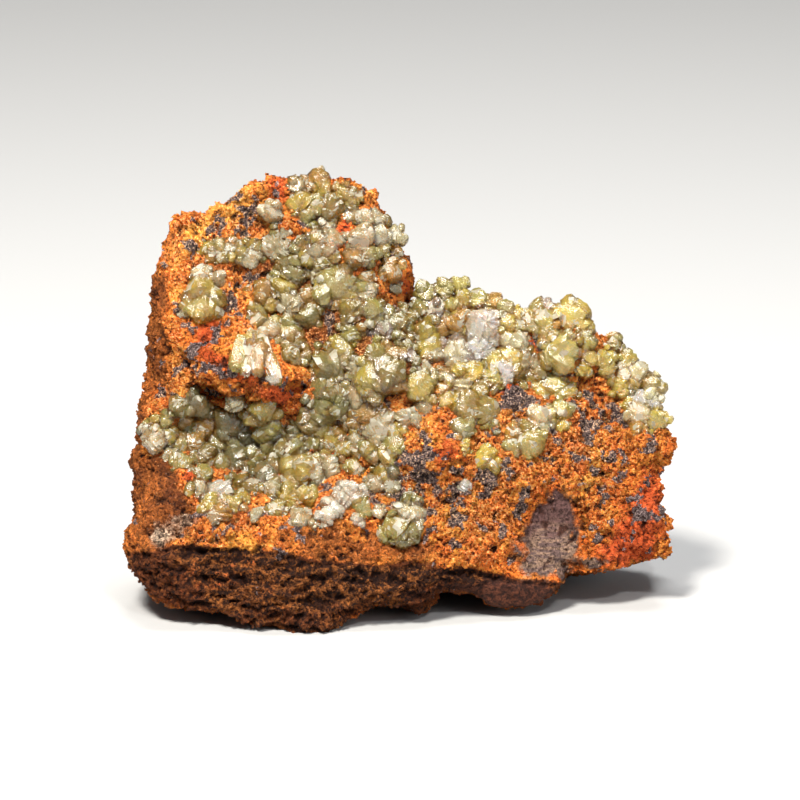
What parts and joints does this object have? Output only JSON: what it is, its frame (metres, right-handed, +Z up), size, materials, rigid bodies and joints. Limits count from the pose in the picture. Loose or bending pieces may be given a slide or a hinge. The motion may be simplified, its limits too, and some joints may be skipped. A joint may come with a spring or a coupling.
{
  "type": "adamite specimen",
  "caption": "Craggy block of rusty limonite with a flat break to rest on, its leaning front face crusted with small yellow-green adamite crystals and fans.",
  "frame": {"origin": "middle of the footprint, on the plane of the flat break that the specimen rests on", "axes": "+X to the right as seen from the crystal face, +Y away from the crystal face, +Z up"},
  "size_m": [0.1, 0.0538, 0.0769],
  "materials": {
    "limonite": "rough earthy rust-orange iron oxide with ochre, red and dark goethite specks",
    "adamite": "clear to milky pale yellow-green crystal with a vitreous lustre"
  },
  "bodies": {
    "root": {"limonite_matrix": "limonite", "main_crust": "adamite", "hollow_crust": "adamite", "summit_crystals": "adamite", "shoulder_crystals": "adamite", "tower_edge_crystals": "adamite", "upper_lone_crystal": "adamite", "left_fan": "adamite", "nose_sheaf": "adamite", "nose_block": "adamite", "white_fan": "adamite", "lower_cluster": "adamite", "lower_sheaf": "adamite", "lower_lone_crystal": "adamite", "tiny_crystal": "adamite", "right_edge_crust": "adamite", "right_end_fan": "adamite"}
  },
  "joints": []
}
